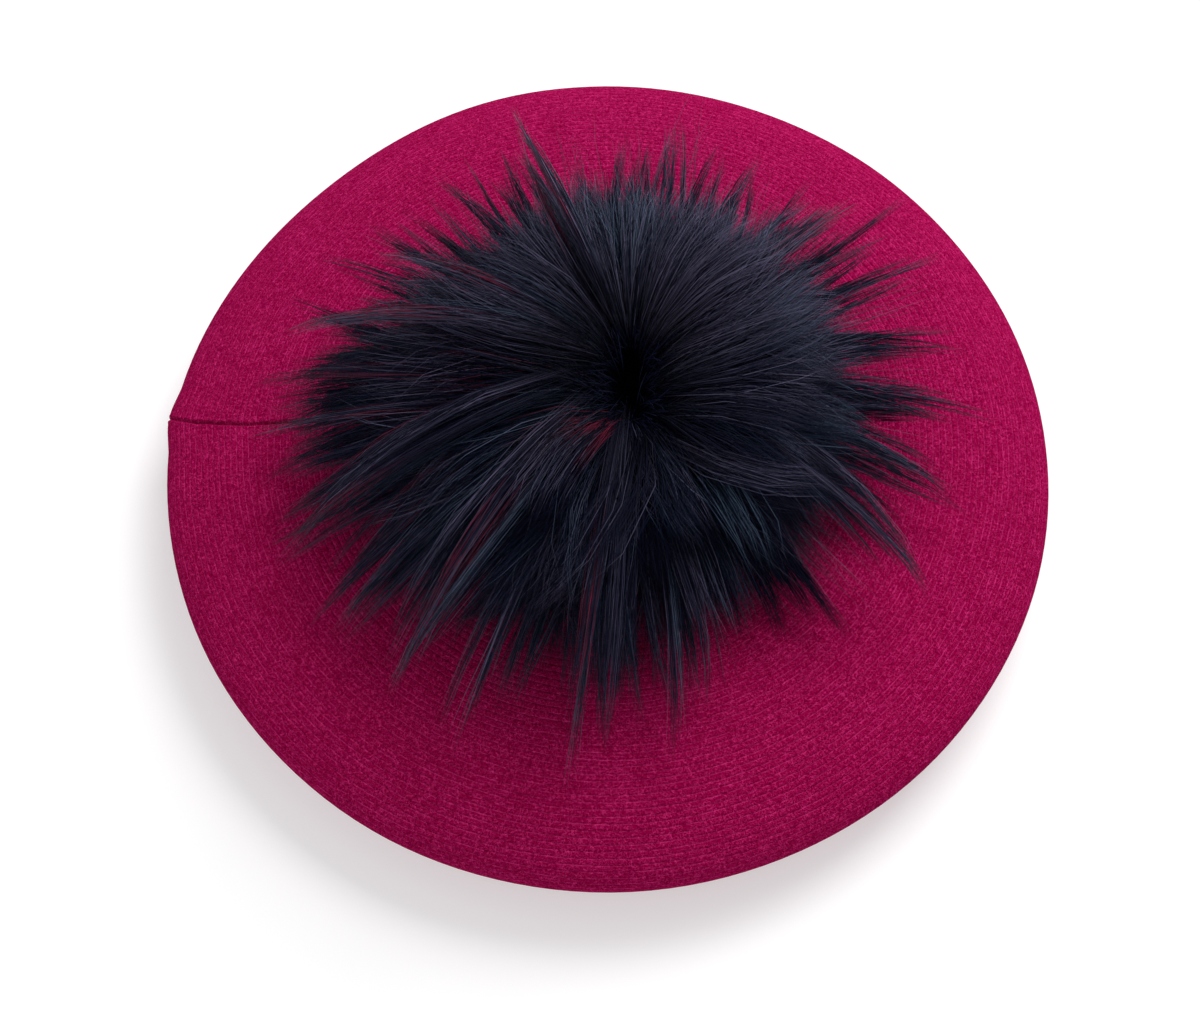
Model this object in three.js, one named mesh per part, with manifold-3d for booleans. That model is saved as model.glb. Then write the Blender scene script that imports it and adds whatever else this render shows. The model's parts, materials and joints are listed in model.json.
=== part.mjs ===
// A knitted beret with a fur pompom on its crown, lying flat on its turned-under brim.
// Millimetres, +Z up. Azimuths run anticlockwise from +X as seen from above, and the wearer's back is +Y.
import * as THREE from 'three'
import { mergeVertices } from 'three/addons/utils/BufferGeometryUtils.js'
import Module from 'manifold-3d'

const wasm = await Module()
wasm.setup()

// Driving dimensions of the knitted body
const BERET_RADIUS = 140
const CROWN_TOP = 41
const RIM_LEVEL = 19
const WALL = 2.6
const FLAT_OUTER_RADIUS = 118
const OPENING_RADIUS = 87
const CROWN_ROUNDNESS = 3
const RING_SEGMENTS = 66

// The seam that joins the knitting from the crown's centre to the head opening, and bends aside towards the rim
const SEAM_AZIMUTH = 178.4
const SEAM_SWEEP = 3.1
const SEAM_SWEEP_RADIUS = 98
const SEAM_DEPTH = 1.1
const SEAM_START_RADIUS = 40
const SEAM_BUNCHING = 0.6

// Where the round outline is flattened or stands proud: azimuth and half width in degrees
const OUTLINE_HUMPS = [
  { azimuth: 141, halfWidth: 42, height: -3.3 },
  { azimuth: SEAM_AZIMUTH, halfWidth: 5, height: 1.8 },
]
const OUTLINE_INNER_RADIUS = 95

// The doubled band at the head opening, inside the hollow
const GAP = 0.3
const BAND_THICKNESS = 3.4
const BAND_HEIGHT = 24
const BAND_ROUNDING = 1.2

// The button under the crown whose shank holds the pompom
const SHANK_RADIUS = 1.5
const SHANK_HOLE_RADIUS = 1.8
const SHANK_RISE = 8
const BUTTON_RADIUS = 7
const BUTTON_THICKNESS = 2
const BUTTON_SEGMENTS = 24

// The pompom: HUB is the middle of the gathered fur, over the crown
const POMPOM_SEAT = CROWN_TOP + GAP
const HUB_HEIGHT = 55
const POMPOM_LEAN = 7
const CORE_SEGMENTS = 24
const LOCK_SIDES = 5
const LOCK_STEPS = 3
const LOCK_FLATNESS = 0.7
const LOCK_BELLY = 0.6

// The core's half section: radius, and rise over the hub
const CORE_SECTION = [
  { radius: 26, rise: POMPOM_SEAT - HUB_HEIGHT },
  { radius: 44, rise: -7 },
  { radius: 50, rise: 4 },
  { radius: 46, rise: 19 },
  { radius: 35, rise: 31 },
  { radius: 17, rise: 36 },
  { radius: 7, rise: 28 },
]
const PIT_RISE = 20

// Rings of locks that cover the core, from the lowest to the one around the parting
const LOCK_RINGS = [
  { count: 23, rootRadius: 32, rootRise: -5, tipRadius: 68, tipRise: -12, lift: 5, width: 8.5 },
  { count: 21, rootRadius: 32, rootRise: 4, tipRadius: 70, tipRise: 0, lift: 9, width: 9 },
  { count: 19, rootRadius: 28, rootRise: 14, tipRadius: 65, tipRise: 17, lift: 9, width: 9 },
  { count: 15, rootRadius: 22, rootRise: 22, tipRadius: 53, tipRise: 31, lift: 10, width: 8.5 },
  { count: 9, rootRadius: 11, rootRise: 28, tipRadius: 33, tipRise: 43, lift: 7, width: 6 },
]
const TIP_RADIUS_PLAY = 3.5
const TIP_AZIMUTH_PLAY = 4

// The side where the fur is longest, and how much longer it is there
const LONG_SIDE_AZIMUTH = 213
const LONG_SIDE_HALF_WIDTH = 95
const LONG_SIDE_MORE = 0.24
const LONG_SIDE_FLATNESS = 1.6

// The long tufts that reach past the rings: azimuth in degrees, tip over the hub's axis and height
const LONG_TUFTS = [
  { azimuth: 26, tipRadius: 105, tipRise: 7, width: 5 },
  { azimuth: 359, tipRadius: 107, tipRise: -7, width: 6 },
  { azimuth: 345, tipRadius: 101, tipRise: -11, width: 5 },
  { azimuth: 326, tipRadius: 103, tipRise: -11, width: 6 },
  { azimuth: 306, tipRadius: 88, tipRise: -12, width: 5 },
  { azimuth: 276, tipRadius: 103, tipRise: -12, width: 4.5 },
  { azimuth: 262, tipRadius: 111, tipRise: -12, width: 7 },
  { azimuth: 245, tipRadius: 107, tipRise: -13, width: 5 },
  { azimuth: 232, tipRadius: 106, tipRise: -12, width: 7 },
  { azimuth: 217, tipRadius: 107, tipRise: -12, width: 7 },
  { azimuth: 205, tipRadius: 108, tipRise: -11, width: 6 },
  { azimuth: 198, tipRadius: 109, tipRise: -11, width: 6 },
  { azimuth: 190, tipRadius: 105, tipRise: -9, width: 6 },
  { azimuth: 182, tipRadius: 108, tipRise: -6, width: 6 },
  { azimuth: 175, tipRadius: 106, tipRise: -4, width: 7 },
  { azimuth: 167, tipRadius: 102, tipRise: 0, width: 6 },
  { azimuth: 152, tipRadius: 100, tipRise: 6, width: 6 },
  { azimuth: 139, tipRadius: 93, tipRise: 12, width: 6 },
  { azimuth: 126, tipRadius: 91, tipRise: 15, width: 6 },
  { azimuth: 112, tipRadius: 92, tipRise: 20, width: 6 },
  { azimuth: 83, tipRadius: 85, tipRise: 22, width: 5 },
  { azimuth: 66, tipRadius: 82, tipRise: 20, width: 6 },
  { azimuth: 44, tipRadius: 89, tipRise: 15, width: 6 },
]
const TUFT_ROOT_RADIUS = 34
const TUFT_ROOT_RISE = 2
const TUFT_LIFT = 12

const KNIT = new THREE.MeshStandardMaterial({ name: 'knit_wool', color: 0x960d44, roughness: 0.95, metalness: 0 })
const FUR = new THREE.MeshStandardMaterial({ name: 'fur', color: 0x10101c, roughness: 0.6, metalness: 0 })
const BUTTON = new THREE.MeshStandardMaterial({ name: 'button', color: 0x141416, roughness: 0.45, metalness: 0 })

// Small helpers
const radians = THREE.MathUtils.degToRad
const mesh = (name, geometry, material) => {
  const piece = new THREE.Mesh(geometry, material)
  piece.name = name
  return piece
}

function bare(geometry) {
  geometry.deleteAttribute('normal')
  geometry.deleteAttribute('uv')
  return mergeVertices(geometry)
}

function asSolid(geometry) {
  const merged = bare(geometry)
  const vertProperties = new Float32Array(merged.attributes.position.array)
  const triVerts = new Uint32Array(merged.index.array)
  return new wasm.Manifold(new wasm.Mesh({ numProp: 3, vertProperties, triVerts }))
}

function asGeometry(solid) {
  const { vertProperties, triVerts } = solid.getMesh()
  const geometry = new THREE.BufferGeometry()
  geometry.setAttribute('position', new THREE.BufferAttribute(vertProperties, 3))
  geometry.setIndex(new THREE.BufferAttribute(triVerts, 1))
  return geometry
}

// Turns a section given as [radius, height] rows about +Z
function turned(section, segments, startAzimuth = 0) {
  const points = section.map(([radius, height]) => new THREE.Vector2(radius, height))
  return new THREE.LatheGeometry(points, segments, radians(startAzimuth + 90)).rotateX(Math.PI / 2)
}

// The crown's outer surface falls from its top to the rim ever more steeply
function crownHeight(radius, inset = 0) {
  const share = Math.min(1, radius / (BERET_RADIUS - inset))
  return RIM_LEVEL + (CROWN_TOP - inset - RIM_LEVEL) * Math.sqrt(1 - share ** CROWN_ROUNDNESS)
}

// Rows of the body's section, from the opening's edge over the rim to the crown's centre, inset by the wall or not
function bodyRows(inset) {
  const crownAngles = [90, 79, 69, 59, 48, 36, 23, 11]
  const underAngles = [90, 72, 54, 36, 18]
  const roll = BERET_RADIUS - FLAT_OUTER_RADIUS - inset
  const drop = RIM_LEVEL - inset
  const under = underAngles.map((angle) => [
    FLAT_OUTER_RADIUS + roll * Math.cos(radians(angle)),
    RIM_LEVEL - drop * Math.sin(radians(angle)),
  ])
  const crown = crownAngles.map((angle) => {
    const radius = (BERET_RADIUS - inset) * Math.sin(radians(angle))
    return [radius, crownHeight(radius, inset)]
  })
  const flat = [[OPENING_RADIUS, inset], [102, inset]]
  return [...flat, ...under, ...crown, [SHANK_HOLE_RADIUS, CROWN_TOP - inset]]
}

// 1 at the middle of a hump and 0 at its ends, for azimuths in degrees
function hump(azimuth, middle, halfWidth) {
  const away = Math.abs(((azimuth - middle + 540) % 360) - 180)
  return away < halfWidth ? (1 + Math.cos(Math.PI * away / halfWidth)) / 2 : 0
}

// Shapes a turned ring as the knitting lies: closer segments at the seam, its crease and bend, the uneven outline
function asKnitted(geometry) {
  const place = new THREE.Vector3()
  const positions = geometry.attributes.position
  for (let i = 0; i < positions.count; i++) {
    place.fromBufferAttribute(positions, i)
    let radius = Math.hypot(place.x, place.y)
    const even = Math.atan2(place.y, place.x)
    const azimuth = even - SEAM_BUNCHING * Math.sin(even - radians(SEAM_AZIMUTH))
    const outwards = THREE.MathUtils.clamp((radius - SEAM_SWEEP_RADIUS) / (BERET_RADIUS - SEAM_SWEEP_RADIUS), 0, 1)
    const swept = azimuth - radians(SEAM_SWEEP) * outwards ** 3 * (1 + Math.cos(azimuth - radians(SEAM_AZIMUTH))) / 2
    const degrees = THREE.MathUtils.radToDeg(azimuth)
    const onSeam = hump(degrees, SEAM_AZIMUTH, 1)
    const crease = SEAM_DEPTH * onSeam * THREE.MathUtils.smoothstep(radius, SEAM_START_RADIUS / 2, SEAM_START_RADIUS)
    const facing = Math.atan2((place.z - RIM_LEVEL) / RIM_LEVEL,
      Math.max(0, radius - FLAT_OUTER_RADIUS) / (BERET_RADIUS - FLAT_OUTER_RADIUS))
    const bulge = OUTLINE_HUMPS.reduce((sum, { azimuth: middle, halfWidth, height }) => (
      sum + height * hump(degrees, middle, halfWidth)), 0)
    const share = THREE.MathUtils.smoothstep(radius, OUTLINE_INNER_RADIUS, BERET_RADIUS)
    radius += bulge * share - crease * Math.cos(facing)
    positions.setXYZ(i, radius * Math.cos(swept), radius * Math.sin(swept), place.z - crease * Math.sin(facing))
  }
  return bare(geometry)
}

// The crown and its turned-under brim are one knitted shell, open at the head and at the shank's hole
function beretBody() {
  const outer = bodyRows(0)
  const inner = bodyRows(WALL).reverse()
  return asKnitted(turned([...outer, ...inner, outer[0]], RING_SEGMENTS, SEAM_AZIMUTH))
}

function headBand() {
  const outer = OPENING_RADIUS - GAP
  const inner = outer - BAND_THICKNESS
  const section = [
    [inner + BAND_ROUNDING, 0],
    [outer, 0],
    [outer, BAND_HEIGHT - BAND_ROUNDING],
    [outer - BAND_ROUNDING, BAND_HEIGHT],
    [inner + BAND_ROUNDING, BAND_HEIGHT],
    [inner, BAND_HEIGHT - BAND_ROUNDING],
    [inner, BAND_ROUNDING],
    [inner + BAND_ROUNDING, 0],
  ]
  return asKnitted(turned(section, RING_SEGMENTS, SEAM_AZIMUTH))
}

function pompomButton() {
  const top = CROWN_TOP - WALL - GAP
  return bare(turned([
    [0, top - BUTTON_THICKNESS],
    [BUTTON_RADIUS - 0.6, top - BUTTON_THICKNESS],
    [BUTTON_RADIUS, top - BUTTON_THICKNESS + 0.6],
    [BUTTON_RADIUS, top],
    [SHANK_RADIUS, top],
    [SHANK_RADIUS, POMPOM_SEAT + SHANK_RISE],
    [0, POMPOM_SEAT + SHANK_RISE],
  ], BUTTON_SEGMENTS))
}

// A place near the pompom: the lean shifts it with its rise over the hub
function furPlace(azimuth, radius, rise) {
  const angle = radians(azimuth)
  return new THREE.Vector3(radius * Math.cos(angle) + POMPOM_LEAN, radius * Math.sin(angle), HUB_HEIGHT + rise)
}

// A tapering lock of fur that arches from its root to its tip
function lock({ azimuth, tipAzimuth, rootRadius, rootRise, tipRadius, tipRise, lift, width }) {
  const root = furPlace(azimuth, rootRadius, rootRise)
  const tip = furPlace(tipAzimuth, tipRadius, tipRise)
  const knee = root.clone().lerp(tip, 0.5)
  knee.z += lift
  const spine = new THREE.QuadraticBezierCurve3(root, knee, tip)
  const side = new THREE.Vector3(-Math.sin(radians(azimuth)), Math.cos(radians(azimuth)), 0)
  const cone = new THREE.ConeGeometry(1, 1, LOCK_SIDES, LOCK_STEPS)
  const positions = cone.attributes.position
  for (let i = 0; i < positions.count; i++) {
    const along = positions.getY(i) + 0.5
    const belly = 1 + LOCK_BELLY * Math.sin(Math.PI * along)
    const lifted = new THREE.Vector3().crossVectors(side, spine.getTangent(along))
    const place = spine.getPoint(along)
    place.addScaledVector(side, positions.getX(i) * width * belly)
    place.addScaledVector(lifted, positions.getZ(i) * width * belly * LOCK_FLATNESS)
    positions.setXYZ(i, place.x, place.y, place.z)
  }
  return asSolid(cone)
}

// Uneven but repeatable play between -1 and 1 for the n-th lock
const play = (n) => Math.sin(n * 2.4 + Math.cos(n * 5.1))

// How much longer the fur is in a direction than on its short side
function furLength(azimuth) {
  const side = hump(azimuth, LONG_SIDE_AZIMUTH, LONG_SIDE_HALF_WIDTH)
  return 1 + LONG_SIDE_MORE * Math.min(1, LONG_SIDE_FLATNESS * side)
}

function ringLocks() {
  let n = 0
  return LOCK_RINGS.flatMap((ring, row) => Array.from({ length: ring.count }, (_, k) => {
    n += 1
    const azimuth = (k + row / 2) * 360 / ring.count
    return lock({
      ...ring,
      azimuth,
      tipAzimuth: azimuth + TIP_AZIMUTH_PLAY * play(n),
      tipRadius: ring.tipRadius * furLength(azimuth) + TIP_RADIUS_PLAY * play(n + 7),
    })
  }))
}

function longTufts() {
  return LONG_TUFTS.map((tuft) => lock({
    ...tuft,
    tipAzimuth: tuft.azimuth,
    rootRadius: TUFT_ROOT_RADIUS,
    rootRise: TUFT_ROOT_RISE,
    lift: TUFT_LIFT,
  }))
}

// The fur's outer form: a dimpled core with every lock joined to it, bored for the shank
function pompom() {
  const section = [
    [0, POMPOM_SEAT],
    ...CORE_SECTION.map(({ radius, rise }) => [radius, HUB_HEIGHT + rise]),
    [0, HUB_HEIGHT + PIT_RISE],
  ]
  const core = asSolid(turned(section, CORE_SEGMENTS).translate(POMPOM_LEAN, 0, 0))
  const fur = [...ringLocks(), ...longTufts()].reduce((whole, piece) => whole.add(piece), core)
  const boreDepth = SHANK_RISE + GAP
  const bore = turned([
    [0, POMPOM_SEAT - 1],
    [SHANK_HOLE_RADIUS, POMPOM_SEAT - 1],
    [SHANK_HOLE_RADIUS, POMPOM_SEAT + boreDepth],
    [0, POMPOM_SEAT + boreDepth],
  ], BUTTON_SEGMENTS)
  return asGeometry(fur.subtract(asSolid(bore)))
}

const beret = new THREE.Group()
beret.add(
  mesh('beret_body', beretBody(), KNIT),
  mesh('head_band', headBand(), KNIT),
  mesh('pompom', pompom(), FUR),
  mesh('pompom_button', pompomButton(), BUTTON),
)

// The origin is the middle of the whole beret's outline, on the surface that it lies on
const middle = new THREE.Box3().setFromObject(beret).getCenter(new THREE.Vector3())
beret.position.set(-middle.x, -middle.y, 0)

export default beret
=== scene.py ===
"""A knitted beret with a fur pompom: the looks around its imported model, laid out as an add-on."""
import json
import math

import bpy
import numpy as np
from bpy.props import FloatProperty, FloatVectorProperty, IntProperty, PointerProperty
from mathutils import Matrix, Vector

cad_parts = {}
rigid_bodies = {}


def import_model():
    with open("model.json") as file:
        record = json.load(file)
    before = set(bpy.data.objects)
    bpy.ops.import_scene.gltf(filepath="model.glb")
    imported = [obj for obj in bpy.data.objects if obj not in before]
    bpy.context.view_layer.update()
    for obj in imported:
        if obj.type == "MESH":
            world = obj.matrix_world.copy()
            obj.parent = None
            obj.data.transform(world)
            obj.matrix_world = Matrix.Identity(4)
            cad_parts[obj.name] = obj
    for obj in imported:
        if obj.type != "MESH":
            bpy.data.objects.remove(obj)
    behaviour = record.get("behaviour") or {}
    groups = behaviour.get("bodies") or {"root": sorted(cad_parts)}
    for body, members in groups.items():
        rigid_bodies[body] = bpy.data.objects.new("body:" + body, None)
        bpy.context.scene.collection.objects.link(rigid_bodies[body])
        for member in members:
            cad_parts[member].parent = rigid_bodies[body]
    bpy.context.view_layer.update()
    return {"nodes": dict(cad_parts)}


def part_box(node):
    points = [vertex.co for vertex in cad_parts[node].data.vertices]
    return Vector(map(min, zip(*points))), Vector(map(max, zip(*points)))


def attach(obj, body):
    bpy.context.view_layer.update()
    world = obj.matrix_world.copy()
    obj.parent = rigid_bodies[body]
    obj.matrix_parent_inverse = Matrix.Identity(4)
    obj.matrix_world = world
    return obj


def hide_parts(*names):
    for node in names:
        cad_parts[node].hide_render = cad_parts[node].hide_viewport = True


bl_info = {
    "name": "Pompom Beret",
    "version": (1, 0, 0),
    "blender": (4, 5, 0),
    "location": "View3D > Sidebar > Beret",
    "description": "Builds the knitting, the fur and a small studio around a packed beret",
    "category": "Add Mesh",
}

# Blender's own first objects go before the frame comes in
for extra in list(bpy.data.objects):
    bpy.data.objects.remove(extra)
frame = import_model()

MM = 0.001
BODY_LOW, BODY_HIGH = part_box("beret_body")
BAND_LOW, BAND_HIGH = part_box("head_band")
BUTTON_LOW, BUTTON_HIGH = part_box("pompom_button")
# The beret's upright axis, where it meets the table
AXIS = np.array((BUTTON_LOW + BUTTON_HIGH) / 2) * (1, 1, 0)
GOLDEN_ANGLE = math.pi * (3 - math.sqrt(5))

# Where the round outline is flattened or stands proud: azimuth and half width in degrees, height in metres
OUTLINE_HUMPS = ((141, 42, -3.3 * MM), (178.4, 5, 1.8 * MM))
OUTLINE_INNER_RADIUS = 95 * MM
OUTLINE_OUTER_RADIUS = 140 * MM

# The crown falls as the root of 1 less this power of the radius
CROWN_ROUNDNESS = 3
# The hole at the crown's middle, the rows of points in one ring of stitches, and those of the plain inside
HOLE_RADIUS = 1.5 * MM
ROWS_PER_RING = 3
INNER_ROWS = 36
# How far the rings wander, how far the knitting swells softly, and over what length before the brim's edge
# the wandering and the seam fade out
RING_WANDER = 0.4 * MM
SOFT_SWELL = 0.35 * MM
WANDER_FADE = 12 * MM
SEAM_FADE = 8 * MM

# The radii between which the seam sets in, and between which it gets shallower at the rim
SEAM_START = (18 * MM, 40 * MM)
SEAM_SHALLOW = (126 * MM, 140 * MM)
# The seam's crease, the two lips beside it and the pull round it
CREASE_WIDTH = 0.42 * MM
LIP_HEIGHT = 0.16 * MM
LIP_ASIDE = 1.1 * MM
LIP_WIDTH = 0.5 * MM
PULL_DEPTH = 0.35 * MM
PULL_WIDTH = 5 * MM

# The bake's two discs for the knitting: middle and radius on the map, outside and inside
OUTER_DISC = (0.36, 0.355)
INNER_DISC = (0.85, 0.14)

# The radius of the band's rounded edges
BAND_ROUNDING = 1.2 * MM

# How fine the wool's noises are, from single fibres to clouds, in spots a metre
GRAIN_SCALE = 1700.0
FIBRE_SCALE = 1500.0
PATCH_SCALE = 900.0
STITCH_WAVER_SCALE = 640.0
BREAK_SCALE = 520.0
RING_WAVER_SCALE = 480.0
CLOUD_SCALE = 110.0
# The same for the ribbing, the button, the fur, the felt and the floor
RIB_WAVER_SCALE = 900.0
RIB_GRAIN_SCALE = 2300.0
BUTTON_GRAIN_SCALE = 900.0
BUTTON_CLOUD_SCALE = 120.0
STREAK_SCALE = 420.0
CLUMP_SCALE = 380.0
FLOOR_CLOUD_SCALE = 3.0

# Dark colours that the finishes mix: the button's two, the streaks along a hair and the felt's two, which are
# painted shade deep in the coat
BUTTON_DARK = (0.006, 0.006, 0.008, 1.0)
BUTTON_PALE = (0.014, 0.013, 0.016, 1.0)
STREAK_DARK = (0.003, 0.003, 0.007, 1.0)
FELT_SHADE_DARK = (0.001, 0.001, 0.003, 1.0)
FELT_SHADE_PALE = (0.003, 0.003, 0.008, 1.0)

# The coat's layers, from the parting at the top to the fur that lies on the knitting. The angles are from the
# vertical: a hair's root on the hub, its first direction and its last. Lengths are in millimetres.
# share, root, first, last, length
COAT_LAYERS = (
    (0.00, 6, 40, 112, 60),
    (0.25, 36, 56, 108, 59),
    (0.50, 62, 74, 105, 55),
    (0.75, 85, 88, 106, 50),
    (1.00, 105, 98, 110, 46),
)

# Long tufts: azimuth in degrees, the tip's radius and its rise over the hub and the tuft's half width in
# millimetres, how far over the coat's top it starts (0 to 1.2), how pale it is (0 to 2), and how far along it
# its burgundy stretch lies (0 for none)
# azimuth, reach, rise, half_width, over, pale, warm
LONG_TUFTS = (
    (37, 108, 11, 5, 0.2, 0.4, 0), (41, 93, 15, 4, 0.8, 0.8, 0.8), (45, 87, 15, 4, 0.7, 0.8, 0),
    (51, 90, 17, 3.5, 0.3, 0.3, 0), (62, 88, 19, 3, 0.3, 0.4, 0), (70, 85, 21, 3, 0.3, 0.2, 0),
    (81, 92, 24, 2, 0.6, 0.6, 0), (86, 83, 21, 2, 0.3, 0.4, 0), (91, 80, 21, 3, 0.3, 0.4, 0),
    (101, 79, 20, 3, 0.3, 0.3, 0), (112, 98, 23, 4, 1.12, 0.7, 0.58), (113, 83, 19, 3, 0.3, 0.2, 0),
    (117, 91, 18, 2, 0.3, 0.3, 0), (124, 93, 17, 3, 0.5, 0.4, 0), (130, 96, 15, 3.5, 0.5, 0.5, 0),
    (139, 96, 13, 5, 0.3, 0.3, 0.8), (145, 100, 11, 5, 0.3, 0.3, 0), (152, 89, 17, 8, 1.12, 1.5, 0.58),
    (155, 107, 11, 8, 0.3, 0.3, 0), (163, 110, 8, 6, 0.2, 0.1, 0), (170, 109, 6, 6, 1.12, 1, 0.58),
    (171, 100, 5, 7, 0.5, 0.2, 0), (174, 106, 4, 7, 0.4, 0.2, 0), (175, 100, 4, 7, 0.4, 0.1, 0),
    (177, 116, 2, 9.5, 0.7, 0.3, 0.7), (179, 109, 2, 8, 0.6, 0.2, 0), (180, 110, 1, 7, 0.4, 0.1, 0),
    (182, 110, 2, 7, 0.5, 0.3, 0), (185, 117, -1, 7, 0.6, 0.5, 0.65), (187, 103, 1, 8, 0.5, 0.1, 0),
    (190, 108, -2, 7, 0.5, 0.2, 0), (192, 108, 0, 7, 0.6, 0.2, 0), (193, 114, -3, 7, 0.5, 0.3, 0),
    (202, 118, -5, 8, 0.6, 0.4, 0), (206, 117, -5, 5, 1.12, 0.6, 0.82), (212, 108, -5, 6, 0.8, 0.5, 0.6),
    (216, 108, -4, 8, 0.7, 0.3, 0), (217, 118, -6, 9, 0.7, 0.4, 0), (222, 114, -6, 7, 0.8, 0.6, 0),
    (232, 102, -5, 8, 0.9, 0.8, 0), (233, 116, -6, 5.5, 1.12, 0.9, 0.58), (244, 118, -10, 4, 0.7, 0.7, 0),
    (248, 104, -9, 3.5, 0.4, 0.5, 0), (258, 97, -9, 4.5, 0.3, 0.2, 0), (261, 121, -9, 4.5, 1.12, 0.6, 0.58),
    (266, 108, -9, 4, 0.8, 0.5, 0), (267, 96, -8, 5.5, 0.8, 0.4, 0), (276, 112, -9, 3, 0.4, 0.6, 0),
    (281, 99, -8, 3.5, 0.3, 0.4, 0), (301, 87, -12, 6, 0.1, 0, 0), (312, 99, -12, 5, 0.1, 0, 0),
    (326, 107, -11, 4.5, 0.8, 0.7, 0), (337, 91, -12, 3, 0.2, 0.1, 0), (343, 107, -12, 2.5, 0.2, 0.2, 0.5),
    (346, 102, -11, 3, 0.5, 0.5, 0), (359, 112, -7, 5, 0.3, 0.4, 0), (1, 101, -5, 4, 0.5, 0.4, 0),
    (11, 106, -3, 3, 0.3, 0.2, 0), (14, 104, 1, 3, 0.3, 0.3, 0), (26, 108, 7, 3, 0.2, 0.4, 0),
)

# The wisps that make a long tuft: their number, the ones with a burgundy stretch, and the cool one
TUFT_WISPS = 5
WARM_WISPS = (0, 2)
COOL_WISP = 3
# Half the length of a wisp's burgundy stretch, as a share of the wisp
WARM_SHARE = 0.14
# Wisps in a small tuft, hairs in each, and how far those spread
SMALL_TUFT_WISPS = 2
SMALL_WISP_HAIRS = 10
SMALL_WISP_SPREAD = 1.8 * MM
# How far small tufts reach, in millimetres, how much shorter they are at the back and longer at the left, and
# how far their tips rise over the hub at the back and sink under it in front
SMALL_REACH = (66, 82)
SMALL_SHORTER = 12
SMALL_LONGER = 7
SMALL_RISE = 24
SMALL_SINK = 12

# Where a tuft's wisps leave the coat: from low at its side, to over its top. Each is a root's radius and its
# rise over the hub in metres, and the first direction's angle from the vertical in radians
LOW_ROOT = np.array((34 * MM, 2 * MM, math.radians(88)))
TOP_ROOT = np.array((3 * MM, 22 * MM, math.radians(62)))

# The coat's length on the short side, against its layers', and where it is longest: the middle and half width
# of that side in degrees, how much longer it is there, and how flat that side's end is
COAT_LENGTH = 0.96
LONG_SIDE = (213, 95, 0.26, 1.6)

# What coolness makes of the pale hairs' colour
COOL_SLATE = (0.55, 1.15, 1.0)

# Where a hair's knots lie along it, for the long ones and the under coat, how many radians a long hair's wave
# turns along it, and how strong the hairs' colours are at their knots, from the root: painted shade darkens
# the roots deep in the coat and painted light lifts the tips
HAIR_KNOTS = (0, 0.3, 0.58, 0.82, 1.0)
UNDER_KNOTS = (0, 0.35, 0.7, 1.0)
WAVE_TURN = 7
UNDER_SHADE_RAMP = np.array((0.3, 0.6, 1.0, 1.2))
COAT_SHADE_RAMP = np.array((0.1, 0.3, 0.7, 1.0, 1.3))
TUFT_SHADE_RAMP = np.array((0.3, 0.7, 1.0, 1.1, 1.1))

# The share of the locks that are pale, partly their own tone and partly painted sheen, of the hairs that are,
# and of the hairs that leave their lock
PALE_SHEEN_LOCKS = 0.34
PALE_HAIRS = 0.03
ASTRAY_HAIRS = 0.12
# How far a lock's hairs stand apart, and how far locks turn aside, in metres and radians
LOCK_WIDTH = 3.8 * MM
LOCK_SWIRL = 0.18

# Each layer of fur draws its own random numbers
UNDER_SEED = 12
COAT_SEED = 41
TUFT_SEED = 77
LOOSE_SEED = 5

# Single hairs stand in brushes of about this many, and have their knots here along them
LOOSE_BRUSH = 24
LOOSE_KNOTS = (0, 0.4, 0.75, 1.0)
# In millimetres: where they leave the coat, how far they reach and how much farther some brushes do, how far
# their tips rise at the back and sink in front, and how wide they are
LOOSE_ROOT = (38, 50)
LOOSE_REACH = 64
LOOSE_FARTHER = 40
LOOSE_RISE = 12
LOOSE_WIDTH = (0.07, 0.15)

# The felted middle that the hairs leave, near-black as painted shade, in rows and sectors of points
CORE_ROWS = 44
CORE_SECTORS = 96
# Its section from below to the pit at its top, in millimetres
# radius, rise
CORE_SECTION = (
    (0, -13.4), (24, -13.4), (38, -7), (42, 1), (38, 11), (28, 17), (16, 15), (8, 8), (0, 3),
)

# Half the length of a lock's burgundy stretch, how many locks have one at each warm place, and those places:
# azimuth in degrees, and radius in millimetres
WARM_STRETCH = 11 * MM
WARM_NEIGHBOURS = 2
WARM_LOCKS = (
    (152, 40), (158, 31), (180, 54), (183, 34), (216, 19), (191, 61), (221, 66),
    (243, 55), (269, 58), (321, 65), (294, 59), (284, 68),
)

# The lights and the camera, in metres
LIGHT_TARGET = (0, 0, 0.04)
KEY_PLACE = (0.54, 0.84, 1.08)
KEY_SIZE = 0.85
KEY_COLOUR = (1.0, 0.985, 0.97)
FILL_PLACE = (-0.9, -0.6, 0.9)
FILL_SIZE = 1.2
FILL_COLOUR = (0.96, 0.98, 1.0)
CAMERA_TARGET = (-1.74 * MM, -20.94 * MM, 18 * MM)
SENSOR_WIDTH = 36
# How far the floor lies under the beret, and how strongly it glows
FLOOR_DROP = 0.4 * MM
FLOOR_GLOW = 0.42


def smooth_step(value, start, end):
    """0 before start, 1 after end, and an even rise between."""
    share = np.clip((value - start) / (end - start), 0, 1)
    return share * share * (3 - 2 * share)


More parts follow.
